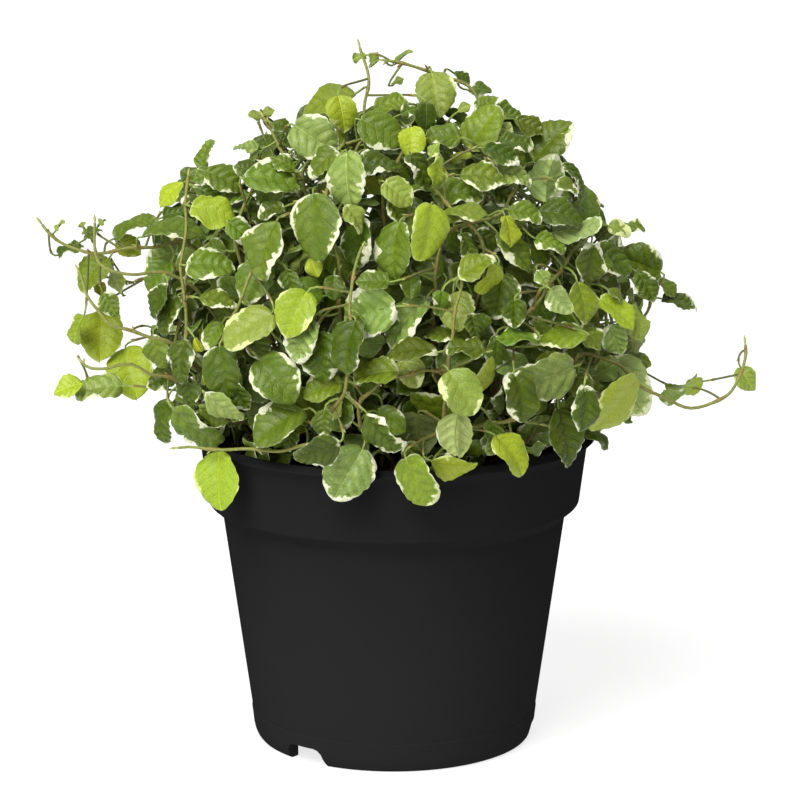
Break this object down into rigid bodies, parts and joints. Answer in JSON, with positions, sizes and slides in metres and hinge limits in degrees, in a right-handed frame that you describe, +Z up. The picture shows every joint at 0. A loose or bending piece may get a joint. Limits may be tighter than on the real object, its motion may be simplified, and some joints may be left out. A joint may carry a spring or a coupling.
{
  "type": "potted creeping fig",
  "caption": "Bushy creeping fig with small cream-edged leaves and trailing stems, growing in a round black tapered nursery pot filled with soil.",
  "frame": {"origin": "on the pot's axis, at the ground under its foot", "axes": "+Z up along the pot's axis, -Y towards the front of the plant, +X to the right as the front is seen"},
  "size_m": [0.2132, 0.1467, 0.209],
  "materials": {
    "pot": "satin",
    "soil": "matte",
    "foliage": "satin"
  },
  "bodies": {
    "root": {"pot": "pot", "soil": "soil", "vine_01": "foliage", "vine_02": "foliage", "vine_03": "foliage", "vine_04": "foliage", "vine_05": "foliage", "vine_06": "foliage", "vine_07": "foliage", "vine_08": "foliage", "vine_09": "foliage", "vine_10": "foliage", "vine_11": "foliage", "vine_12": "foliage", "vine_13": "foliage", "vine_14": "foliage", "vine_15": "foliage", "vine_16": "foliage", "vine_17": "foliage", "vine_18": "foliage", "vine_19": "foliage", "vine_20": "foliage", "vine_21": "foliage", "vine_22": "foliage", "vine_23": "foliage", "vine_24": "foliage", "vine_25": "foliage", "vine_26": "foliage", "vine_27": "foliage", "vine_28": "foliage", "vine_29": "foliage", "vine_30": "foliage", "vine_31": "foliage", "vine_32": "foliage", "vine_33": "foliage", "vine_34": "foliage", "vine_35": "foliage", "vine_36": "foliage", "vine_37": "foliage", "vine_38": "foliage", "vine_39": "foliage", "vine_40": "foliage", "vine_41": "foliage", "vine_42": "foliage", "vine_43": "foliage", "vine_44": "foliage", "vine_45": "foliage"}
  },
  "joints": []
}
